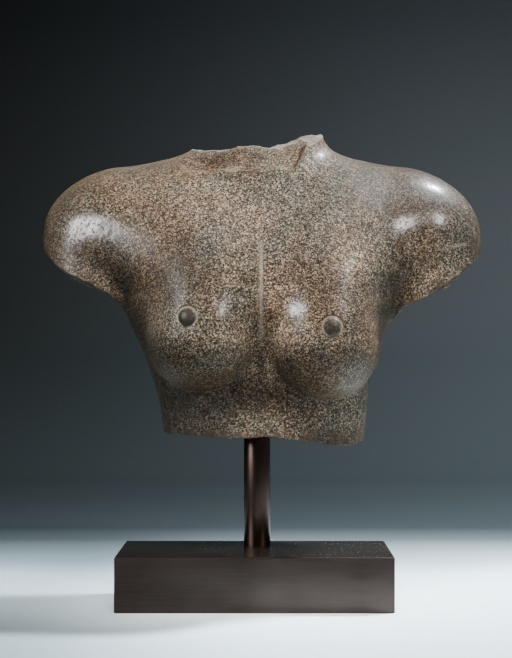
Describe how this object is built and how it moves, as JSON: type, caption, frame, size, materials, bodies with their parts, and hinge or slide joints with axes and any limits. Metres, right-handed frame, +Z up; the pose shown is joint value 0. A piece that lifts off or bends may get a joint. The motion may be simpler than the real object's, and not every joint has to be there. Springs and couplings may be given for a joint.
{
  "type": "stone bust",
  "caption": "Headless, armless torso fragment of speckled granite, held by a round rod on a rectangular metal plinth.",
  "frame": {"origin": "centre of the plinth's underside", "axes": "+Z up, the figure looks along -Y, +X to the viewer's right"},
  "size_m": [0.42, 0.2017, 0.4415],
  "materials": {
    "granite": "polished dark granite with pale and rusty grains, matt where it is broken",
    "rod_metal": "dark brown patinated metal, satin",
    "plinth_metal": "dark bronze patinated metal, satin, finely brushed"
  },
  "bodies": {
    "root": {"stone_torso": "granite", "mount_rod": "rod_metal", "plinth_block": "plinth_metal"}
  },
  "joints": []
}
